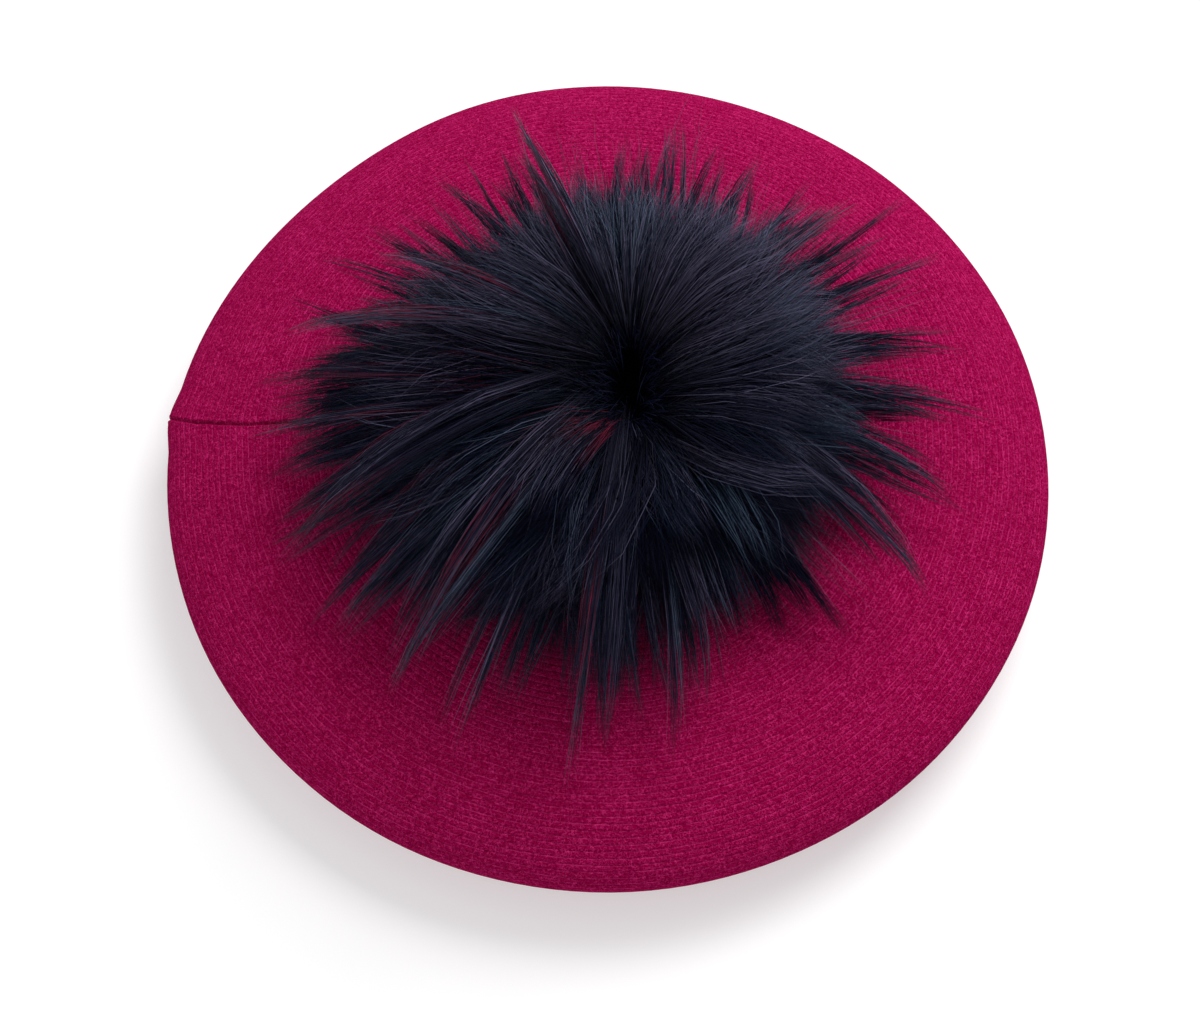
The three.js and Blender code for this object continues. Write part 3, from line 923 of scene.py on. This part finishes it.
def hair_mesh(name, paths, widths, tints, material):
    """One mesh of closed three-sided hairs, pointed at both ends.

    paths holds each hair's knots, widths its thickness at each knot but the ends, and tints a colour a knot.
    """
    count, knots = paths.shape[:2]
    rings = knots - 2
    along = np.gradient(paths, axis=1)
    along /= np.linalg.norm(along, axis=2, keepdims=True)
    rng = np.random.default_rng(count)
    aside = np.cross(along, rng.normal(size=(count, 1, 3)))
    aside /= np.linalg.norm(aside, axis=2, keepdims=True)
    over = np.cross(along, aside)
    turn = np.radians((90, 210, 330))
    corner = aside[:, 1:-1, None] * np.cos(turn)[:, None] + over[:, 1:-1, None] * np.sin(turn)[:, None]
    ringed = paths[:, 1:-1, None] + corner * (widths / 2)[:, :, None, None]
    points = np.concatenate([paths[:, :1], ringed.reshape(count, rings * 3, 3), paths[:, -1:]], axis=1)
    corners = hair_corners(rings)
    up, third = corners[..., 0], corners[..., 1]
    on_ring = 3 * up - 2 + third % 3
    template = np.where(up == 0, 0, np.where(up > rings, 3 * rings + 1, on_ring)).astype(int)
    layout = corners / (knots - 1, 3)
    all_faces = (template + np.arange(count)[:, None, None] * (3 * rings + 2)).reshape(-1, 3)
    across = math.ceil(math.sqrt(count / 8))
    down = math.ceil(count / across)
    cell = np.stack(np.divmod(np.arange(count), down), axis=1)
    atlas = (cell[:, None, None] + 0.06 + layout * 0.88) / (across, down)
    tint_rows = np.concatenate([tints[:, :1], np.repeat(tints[:, 1:-1], 3, axis=1), tints[:, -1:]], axis=1)
    piece = make_mesh(name, points.reshape(-1, 3), all_faces, material, {"OFBake": atlas},
                      tint_rows.reshape(-1, 3))
    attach(piece, "root")
    return piece


def kept_over_crown(paths, knit, clearance):
    """Lifts what would sink into the knitting to a little over it."""
    radius = np.hypot(paths[..., 0] - AXIS[0], paths[..., 1] - AXIS[1])
    floor = crown_height(radius, knit) + clearance
    paths[..., 2] = np.where(radius < knit.radius, np.maximum(paths[..., 2], floor), paths[..., 2])
    return paths


def coat_length(azimuth):
    """The coat's length round the pompom: it lies longest on one side."""
    middle, half_width, more, flatness = LONG_SIDE
    return COAT_LENGTH * (1 + more * np.minimum(1, flatness * hump(np.degrees(azimuth), middle, half_width)))


def coat_paths(fur, share, azimuth, parting, length, swirl, droop, steps):
    """Hairs that leave the parting and the hub's ball and bend outwards evenly along their length.

    parting is the hair's place along the parting, from -1 at its front to 1 at its back.
    """
    columns = np.array(COAT_LAYERS).T
    root, first, last, reach = (np.interp(share, columns[0], column)[:, None] for column in columns[1:])
    root, first, last = np.radians(root), np.radians(first), np.radians(last) + droop[:, None]
    reach = reach * MM * length[:, None]
    bend = last - first
    angle = first + bend * steps
    out = fur.hub_radius * np.sin(root) + reach * (np.cos(first) - np.cos(angle)) / bend
    rise = fur.hub_radius * np.cos(root) + reach * (np.sin(angle) - np.sin(first)) / bend
    turned = azimuth[:, None] + swirl[:, None] * steps ** 2
    parted = (fur.parting_reach * parting - fur.parting_shift) * np.clip(1 - 1.6 * share, 0, 1)
    forward = parted[:, None] * (1 - 0.75 * steps)
    return np.stack([out * np.cos(turned), out * np.sin(turned) + forward, rise], axis=-1) + hub(fur)


def parting_place(rng, azimuth):
    """Places along the parting: hairs to its sides leave all of it, and the others leave its ends."""
    return np.sin(azimuth) + rng.uniform(-1, 1, len(azimuth)) * np.cos(azimuth) ** 2


def under_fur(fur, knit):
    """The short dark hairs that fill the coat, and stand in its parting."""
    rng = np.random.default_rng(UNDER_SEED)
    count = fur.under_hairs
    share = rng.uniform(0, 1, count) ** 1.3
    azimuth = rng.uniform(0, 2 * math.pi, count)
    steps = np.clip(np.array(UNDER_KNOTS) + rng.normal(0, 0.03, (count, 4)) * (0, 1, 1, 0), 0, 1)
    start = 0.45 * smooth_step(share, 0.15, 0.6)[:, None]
    steps = start + (1 - start) * steps
    length = rng.uniform(0.66, 0.94, count) * (0.4 + 0.6 * smooth_step(share, 0, 0.12)) * coat_length(azimuth)
    swirl = rng.normal(0, 0.16, count)
    droop = rng.normal(0, 0.1, count)
    paths = coat_paths(fur, share, azimuth, parting_place(rng, azimuth), length, swirl, droop, steps)
    paths = paths + rng.normal(0, 1.2 * MM, (count, 1, 3)) * (steps ** 2)[..., None]
    middle = share < 0.05
    lean = rng.normal(0, 5 * MM, (count, 1, 3)) * (1, 1, 0.3) * middle[:, None, None]
    paths = kept_over_crown(paths + lean * steps[..., None], knit, 1.0 * MM)
    widths = fur.hair_width * rng.uniform(1.0, 1.5, (count, 1)) * np.array((1.0, 0.8))
    # Painted shade at the roots, from the ramp along each hair
    tints = np.array(fur.navy) * rng.uniform(0.5, 1.2, (count, 1, 1)) * UNDER_SHADE_RAMP[None, :, None]
    hair_mesh("fur_under_coat", paths, widths, tints, hair_finish())


def warm_radius(lock_share, lock_azimuth):
    """How far out each lock's burgundy stretch lies, or 0 for the locks that aren't at a warm place."""
    radius = (24 + 42 * lock_share ** 0.7) * MM
    places = np.stack([radius * np.cos(lock_azimuth), radius * np.sin(lock_azimuth)], axis=1)
    warm = np.zeros(len(lock_share))
    for azimuth, reach in WARM_LOCKS:
        angle = math.radians(azimuth)
        spot = np.array((math.cos(angle), math.sin(angle))) * reach * MM
        nearest = np.argsort(np.linalg.norm(places - spot, axis=1))[:WARM_NEIGHBOURS]
        warm[nearest] = reach * MM
    return warm


def coat_tints(fur, rng, paths, azimuth, pale, cool, warm):
    """The coat's colours: paler at the back as painted light, and in front pale by the lock, partly painted
    sheen, or cool or burgundy by the lock, with painted shade towards the roots.
    """
    each = (len(paths), 1)
    # Painted light: the coat turns paler towards the back, where the key light falls
    back = smooth_step(0.85 * np.sin(azimuth) + 0.3 * np.cos(azimuth), -0.2, 0.7)[:, None]
    spread = rng.uniform(0, 1, each)
    tone = mixed(1.7 * pale * spread ** 2.5, 0.35 * pale + spread ** 1.3, back)
    is_pale = rng.uniform(0, 1, each) < PALE_HAIRS
    tone = np.clip(np.where(is_pale, rng.uniform(0.5, 1, each), tone), 0, 1)
    is_warm = (rng.uniform(0, 1, each) < 0.75) * (warm > 0)
    from_hub = np.hypot(*np.moveaxis(paths - hub(fur), 2, 0)[:2])
    stretch = 0.9 * is_warm * np.exp(-((from_hub - warm) / WARM_STRETCH) ** 2)
    colour = hair_colour(fur, tone, np.clip(cool * 1.6 - 0.8, 0, 1))
    # Painted shade at the roots, from the ramp along each hair
    tints = colour[:, None, :] * COAT_SHADE_RAMP[None, :, None]
    return mixed(tints, np.array(fur.burgundy), stretch[..., None])


def fur_coat(fur, knit):
    """The coat: hairs gathered in tapering locks, as four joined meshes round the pompom.

    The fur at the back is brushed out soft and made paler as painted light, and towards the front it gathers
    in longer dark locks.
    """
    rng = np.random.default_rng(COAT_SEED)
    number = np.arange(fur.locks)
    lock_share = ((number + 0.5) / fur.locks) ** 1.1
    lock_azimuth = number * GOLDEN_ANGLE + rng.normal(0, 0.12, fur.locks)
    lock_parting = parting_place(rng, lock_azimuth)
    lock_front = 0.5 - 0.5 * np.sin(lock_azimuth)
    lock_more = rng.uniform(-0.2, 0.28, fur.locks) * lock_front
    lock_length = (rng.uniform(0.95, 1.03, fur.locks) + lock_more) * coat_length(lock_azimuth)
    lock_swirl = np.clip(rng.normal(0, LOCK_SWIRL, fur.locks), -2 * LOCK_SWIRL, 2 * LOCK_SWIRL)
    lock_droop = rng.normal(0, 0.1, fur.locks) + 0.5 * (lock_length - 1)
    lock_gather = rng.uniform(0.1, 0.4, fur.locks) + rng.uniform(0.4, 0.55, fur.locks) * lock_front
    # Pale locks: partly their own tone, partly painted sheen on the locks
    is_pale = rng.uniform(0, 1, fur.locks) < PALE_SHEEN_LOCKS
    lock_pale_sheen = np.where(is_pale, rng.uniform(0.4, 1, fur.locks), 0.08)
    lock_cool = rng.uniform(0, 1, fur.locks)
    lock_warm = warm_radius(lock_share, lock_azimuth)

    lock = rng.integers(0, fur.locks, fur.hairs)
    share = np.clip(lock_share[lock] + rng.normal(0, 0.03, fur.hairs), 0, 1)
    middle_radius = 18 * MM + 30 * MM * np.sqrt(share)
    azimuth = lock_azimuth[lock] + rng.normal(0, LOCK_WIDTH, fur.hairs) / middle_radius
    parting = lock_parting[lock] + rng.normal(0, 0.12, fur.hairs)
    length = lock_length[lock] * (1.04 - 0.36 * rng.uniform(0, 1, fur.hairs) ** 1.7)
    swirl = lock_swirl[lock] + rng.normal(0, 0.05, fur.hairs)
    droop = lock_droop[lock] + rng.normal(0, 0.06, fur.hairs)
    start = 0.42 * smooth_step(share, 0.1, 0.6)[:, None]
    knots = np.array(HAIR_KNOTS) + rng.normal(0, 0.03, (fur.hairs, 5)) * (0, 1, 1, 1, 0)
    steps = start + (1 - start) * knots
    own = coat_paths(fur, share, azimuth, parting, length, swirl, droop, steps)
    shared = coat_paths(
        fur, lock_share[lock], lock_azimuth[lock], lock_parting[lock], length, lock_swirl[lock],
        lock_droop[lock], steps)
    pull = lock_gather[lock, None] * rng.uniform(0.8, 1.08, (fur.hairs, 1)) * steps ** 1.3
    paths = own + (shared - own) * np.minimum(pull, 0.97)[..., None]
    astray = rng.uniform(0, 1, (fur.hairs, 1, 1)) < ASTRAY_HAIRS
    sway = rng.normal(0, 0.3 * MM, (fur.hairs, 1, 3)) + rng.normal(0, 3.4 * MM, (fur.hairs, 1, 3)) * astray
    wave = rng.normal(0, 0.4 * MM, (fur.hairs, 1, 3))
    wave = wave * np.sin(WAVE_TURN * steps + rng.uniform(0, 6, (fur.hairs, 1)))[..., None]
    paths = paths + sway * (steps ** 2)[..., None] + wave * steps[..., None]
    paths = kept_over_crown(paths, knit, rng.uniform(0.5, 1.8, (fur.hairs, 1)) * MM)

    widths = fur.hair_width * rng.uniform(0.6, 1.2, (fur.hairs, 1)) * np.array((1.0, 0.9, 0.55))
    pale, cool, warm = lock_pale_sheen[lock, None], lock_cool[lock, None], lock_warm[lock, None]
    tints = coat_tints(fur, rng, paths, azimuth, pale, cool, warm)
    quarter = ((lock_azimuth[lock] % (2 * math.pi)) // (math.pi / 2)).astype(int)
    material = hair_finish()
    for side in range(4):
        mine = quarter == side
        hair_mesh(f"fur_coat_{side + 1}", paths[mine], widths[mine], tints[mine], material)


def round_place(azimuth, radius, rise, fur):
    """Places round the hub for azimuths in radians."""
    places = np.broadcast_arrays(radius * np.cos(azimuth), radius * np.sin(azimuth), rise)
    return np.stack(places, axis=-1) + hub(fur)


def wisp(fur, rng, angle, reach, rise, spread, over, count):
    """Hairs side by side on one arc, low from the coat's side or over its top, that end in a thin point."""
    root_radius, root_rise, first = mixed(LOW_ROOT, TOP_ROOT, over)
    chord = math.hypot(reach - root_radius, rise - root_rise)
    half_bend = math.atan2(reach - root_radius, rise - root_rise) - first
    curve = chord / (2 * math.sin(half_bend))
    ends = 1 - 0.3 * rng.uniform(0, 1, (count, 1)) ** 1.8
    starts = 0.25 * rng.uniform(0.5, 1, (count, 1)) * over
    t = starts + (ends - starts) * np.array(HAIR_KNOTS)
    slope = first + 2 * half_bend * t
    radius = root_radius + curve * (math.cos(first) - np.cos(slope))
    height = root_rise + curve * (np.sin(slope) - math.sin(first))
    turned = angle + rng.normal(0, 0.1) * over * (1 - t) ** 2
    path = round_place(turned, radius, height, fur)
    width = (1 - 0.6 * over * (1 - t) ** 2) * (1 - 0.85 * t ** 2.2)
    side = np.array((-math.sin(angle), math.cos(angle), 0))
    bow = rng.normal(0, 2.4 * MM) * 4 * t * (1 - t)
    crossing = mixed(rng.normal(0, spread, (count, 1)), rng.normal(0, 0.8 * spread, (count, 1)), t)
    wave = rng.normal(0, 0.5 * MM, (count, 1)) * np.sin(WAVE_TURN * t + rng.uniform(0, 6, (count, 1))) * t
    aside = crossing * width + bow + wave + rng.normal(0, 0.9 * MM, (count, 1)) * t ** 2
    lifted = rng.normal(0, 0.6 * spread, (count, 1)) * width + rng.normal(0, 0.8 * MM, (count, 1)) * t
    return path + aside[..., None] * side + lifted[..., None] * (0, 0, 1)


def long_tufts(fur, knit):
    """The pointed tufts that reach out over the knitting, each a few wisps, with small ones between them."""
    rng = np.random.default_rng(TUFT_SEED)
    wisps = []
    looks = []
    for azimuth, reach, rise, half_width, over, pale, warm in LONG_TUFTS:
        angle = math.radians(azimuth)
        for number in range(TUFT_WISPS):
            turn = rng.normal(0, 0.01 * half_width) * min(number, 1)
            share = 1 - rng.uniform(0.01, 0.2) * min(number, 1)
            drop = rise * MM + rng.normal(0, 1.2 * MM) + (1 - share) * 8 * MM
            start = np.clip(over + rng.normal(0, 0.08), 0, 1.2)
            spread = rng.uniform(0.28, 0.5) * half_width * MM
            hairs = round(fur.wisp_hairs * (0.4 + 0.12 * half_width))
            wisps.append(wisp(fur, rng, angle + turn, reach * share * MM, drop, spread, start, hairs))
            look = (pale * rng.uniform(0.4, 1), warm * (number in WARM_WISPS), number == COOL_WISP)
            looks += [look] * hairs
    for number in range(fur.small_tufts):
        angle = (number + rng.uniform(0, 1)) * 2 * math.pi / fur.small_tufts
        side = math.sin(angle)
        back = smooth_step(side, 0, 0.7)
        left = smooth_step(-math.cos(angle), 0.3, 0.9)
        for _ in range(SMALL_TUFT_WISPS):
            rise = SMALL_RISE * side * max(side, 0) - SMALL_SINK * max(-side, 0) + rng.normal(2, 5)
            reach = rng.uniform(*SMALL_REACH) - SMALL_SHORTER * back + SMALL_LONGER * left
            reach = reach * coat_length(angle)
            turned = angle + rng.normal(0, 0.05)
            start = rng.uniform(0, 0.7)
            wisps.append(wisp(
                fur, rng, turned, reach * MM, rise * MM, SMALL_WISP_SPREAD, start, SMALL_WISP_HAIRS))
            looks += [(rng.uniform(0, 0.4), 0, 0)] * SMALL_WISP_HAIRS
    paths = kept_over_crown(np.concatenate(wisps), knit, 0.8 * MM)
    count = len(paths)
    pale, warm, cool = np.array(looks).T[..., None]
    widths = fur.hair_width * rng.uniform(0.7, 1.3, (count, 1)) * (1.0, 0.95, 0.65)
    tone = np.clip(1.7 * pale * rng.uniform(0, 1, (count, 1)) ** 3 + 0.1 * pale, 0, 1)
    colour = hair_colour(fur, tone, 0.5 * cool)
    # Painted shade at the roots, from the ramp along each hair
    tints = colour[:, None, :] * TUFT_SHADE_RAMP[None, :, None]
    is_warm = (rng.uniform(0, 1, (count, 1)) < 0.5) * (warm > 0)
    stretch = 0.85 * is_warm * np.exp(-((np.array(HAIR_KNOTS) - warm) / WARM_SHARE) ** 2)
    tints = mixed(tints, np.array(fur.burgundy), stretch[..., None])
    hair_mesh("fur_long_tufts", paths, widths, tints, hair_finish())


def loose_hairs(fur, knit):
    """Single thin hairs that stand off the coat as a haze over the knitting."""
    rng = np.random.default_rng(LOOSE_SEED)
    count = fur.loose_hairs
    steps = np.broadcast_to(np.array(LOOSE_KNOTS), (count, len(LOOSE_KNOTS)))
    brushes = count // LOOSE_BRUSH
    brush = rng.integers(0, brushes, count)
    azimuth = rng.uniform(0, 2 * math.pi, brushes)[brush] + rng.normal(0, 0.04, count)
    brush_reach = LOOSE_FARTHER * rng.uniform(0, 1, brushes) ** 1.6
    reach = (LOOSE_REACH + brush_reach[brush] * rng.uniform(0.2, 1, count) ** 1.5) * MM
    rise = (LOOSE_RISE * np.sin(azimuth) + rng.normal(0, 9, count)) * MM
    root = round_place(azimuth, rng.uniform(*LOOSE_ROOT, count) * MM, rise * 0.5, fur)
    turned = azimuth + rng.normal(0, 0.12, brushes)[brush] + rng.normal(0, 0.04, count)
    tip = round_place(turned, reach, rise, fur)
    knee = (root + tip) / 2 + rng.normal(0, 2 * MM, (count, 3)) + (0, 0, 6 * MM)
    t = steps[..., None]
    paths = root[:, None] * (1 - t) ** 2 + 2 * knee[:, None] * t * (1 - t) + tip[:, None] * t ** 2
    paths = kept_over_crown(paths, knit, 0.5 * MM)
    widths = rng.uniform(*LOOSE_WIDTH, (count, 1)) * MM * np.array((1.0, 0.9))
    colour = mixed(np.array(fur.navy), np.array(fur.slate), 0.8 * rng.uniform(0, 1, (count, 1)) ** 2)
    tints = np.repeat(colour[:, None, :], len(LOOSE_KNOTS), axis=1)
    hair_mesh("fur_loose_hairs", paths, widths, tints, hair_finish())


class BERET_OT_fur_core(bpy.types.Operator):
    """Make the felted middle of the pompom"""

    bl_idname = "beret.fur_core"
    bl_label = "Fur Core"

    def execute(self, context):
        fur_core(context.scene.beret_fur)
        return {"FINISHED"}


class BERET_OT_under_fur(bpy.types.Operator):
    """Fill the pompom's coat with short dark hairs"""

    bl_idname = "beret.under_fur"
    bl_label = "Under Fur"

    def execute(self, context):
        under_fur(context.scene.beret_fur, context.scene.beret_knit)
        return {"FINISHED"}


class BERET_OT_fur_coat(bpy.types.Operator):
    """Grow the pompom's coat in locks"""

    bl_idname = "beret.fur_coat"
    bl_label = "Fur Coat"

    def execute(self, context):
        fur_coat(context.scene.beret_fur, context.scene.beret_knit)
        return {"FINISHED"}


class BERET_OT_long_tufts(bpy.types.Operator):
    """Grow the long pointed tufts"""

    bl_idname = "beret.long_tufts"
    bl_label = "Long Tufts"

    def execute(self, context):
        long_tufts(context.scene.beret_fur, context.scene.beret_knit)
        return {"FINISHED"}


class BERET_OT_loose_hairs(bpy.types.Operator):
    """Grow the haze of single hairs"""

    bl_idname = "beret.loose_hairs"
    bl_label = "Loose Hairs"

    def execute(self, context):
        loose_hairs(context.scene.beret_fur, context.scene.beret_knit)
        return {"FINISHED"}


# The studio

class StudioSettings(bpy.types.PropertyGroup):
    """The floor, the light and the camera."""

    floor_size: FloatProperty(
        name="Floor size", description="Width of the floor", default=8.0, unit="LENGTH")
    floor_colour: FloatVectorProperty(
        name="Floor", description="Colour of the floor", default=(0.60, 0.60, 0.61), subtype="COLOR")
    key_power: FloatProperty(
        name="Key light", description="Power of the main light", default=21.5, unit="POWER")
    fill_power: FloatProperty(
        name="Fill light", description="Power of the fill light", default=1.5, unit="POWER")
    sky: FloatProperty(name="Sky", description="Strength of the even light from all round", default=0.52)
    elevation: FloatProperty(
        name="Camera elevation", description="How far the camera looks down", default=math.radians(66.82),
        subtype="ANGLE")
    distance: FloatProperty(
        name="Camera distance", description="From the camera to its target", default=0.6, unit="LENGTH")
    lens: FloatProperty(
        name="Lens", description="Focal length in millimetres", default=57.06)


def aimed(thing, target):
    """Turns a lamp or a camera to look at a place."""
    thing.rotation_euler = (Vector(target) - thing.location).to_track_quat("-Z", "Y").to_euler()


def area_light(name, power, size, place, colour):
    """A square light that shines at the beret."""
    light = bpy.data.lights.new(name, "AREA")
    light.energy = power
    light.size = size
    light.color = colour
    holder = bpy.data.objects.new(name, light)
    holder.location = place
    bpy.context.scene.collection.objects.link(holder)
    aimed(holder, LIGHT_TARGET)


def studio_floor(settings):
    """A wide pale floor with a faint glow, a little under the beret."""
    finish = Finish("pale_floor", {"Roughness": 0.8, "Emission Strength": FLOOR_GLOW})
    finish.feed("Emission Color", (1.0, 1.0, 1.0, 1.0))
    cloud = finish.noise(finish.object_place(), FLOOR_CLOUD_SCALE)
    paler = [part * 1.02 for part in settings.floor_colour]
    finish.feed("Base Color", finish.mix(cloud, (*settings.floor_colour, 1.0), (*paler, 1.0)))
    half = settings.floor_size / 2
    corners = np.array([(-half, -half, 0), (half, -half, 0), (half, half, 0), (-half, half, 0)])
    floor = make_mesh("studio_floor", corners - (0, 0, FLOOR_DROP), [[0, 1, 2, 3]], finish.material)


def studio(settings):
    """The floor, two lights, an even sky and the camera."""
    studio_floor(settings)
    area_light("key_light", settings.key_power, KEY_SIZE, KEY_PLACE, KEY_COLOUR)
    area_light("fill_light", settings.fill_power, FILL_SIZE, FILL_PLACE, FILL_COLOUR)

    world = bpy.data.worlds.new("even_light")
    world.use_nodes = True
    backdrop = world.node_tree.nodes["Background"]
    backdrop.inputs["Color"].default_value = (1, 1, 1, 1)
    backdrop.inputs["Strength"].default_value = settings.sky
    bpy.context.scene.world = world
    bpy.context.scene.view_settings.view_transform = "Standard"

    lens = bpy.data.cameras.new("camera")
    lens.lens = settings.lens
    lens.sensor_width = SENSOR_WIDTH
    lens.clip_start = 0.01
    camera = bpy.data.objects.new("camera", lens)
    bpy.context.scene.collection.objects.link(camera)
    aim = Vector(CAMERA_TARGET)
    back = Vector((0, -math.cos(settings.elevation), math.sin(settings.elevation)))
    camera.location = aim + back * settings.distance
    aimed(camera, aim)
    bpy.context.scene.camera = camera


class BERET_OT_studio(bpy.types.Operator):
    """Set the floor, the lights and the camera"""

    bl_idname = "beret.studio"
    bl_label = "Studio"

    def execute(self, context):
        studio(context.scene.beret_studio)
        return {"FINISHED"}


SETTINGS = {
    "beret_knit": KnitSettings,
    "beret_band": BandSettings,
    "beret_fur": FurSettings,
    "beret_studio": StudioSettings,
}
OPERATORS = (
    BERET_OT_knit_body,
    BERET_OT_head_band,
    BERET_OT_button_finish,
    BERET_OT_fur_core,
    BERET_OT_under_fur,
    BERET_OT_fur_coat,
    BERET_OT_long_tufts,
    BERET_OT_loose_hairs,
    BERET_OT_studio,
)


class BERET_PT_pieces(bpy.types.Panel):
    """The beret's pieces and their sizes"""

    bl_label = "Pompom Beret"
    bl_idname = "BERET_PT_pieces"
    bl_space_type = "VIEW_3D"
    bl_region_type = "UI"
    bl_category = "Beret"

    def draw(self, context):
        for operator in OPERATORS:
            self.layout.operator(operator.bl_idname)
        for name, group in SETTINGS.items():
            box = self.layout.box()
            for setting in group.__annotations__:
                box.prop(getattr(context.scene, name), setting)


def register():
    """Adds the settings to the scene, and the operators and the panel to the sidebar."""
    for name, group in SETTINGS.items():
        bpy.utils.register_class(group)
        setattr(bpy.types.Scene, name, PointerProperty(type=group))
    for operator in OPERATORS:
        bpy.utils.register_class(operator)
    bpy.utils.register_class(BERET_PT_pieces)


def unregister():
    """Takes the panel, the operators and the settings away again."""
    bpy.utils.unregister_class(BERET_PT_pieces)
    for operator in reversed(OPERATORS):
        bpy.utils.unregister_class(operator)
    for name, group in SETTINGS.items():
        delattr(bpy.types.Scene, name)
        bpy.utils.unregister_class(group)


def main():
    """Builds every piece with its operator."""
    register()
    bpy.ops.beret.studio()
    bpy.ops.beret.knit_body()
    bpy.ops.beret.head_band()
    bpy.ops.beret.button_finish()
    bpy.ops.beret.fur_core()
    bpy.ops.beret.under_fur()
    bpy.ops.beret.fur_coat()
    bpy.ops.beret.long_tufts()
    bpy.ops.beret.loose_hairs()


if __name__ == "__main__":
    main()
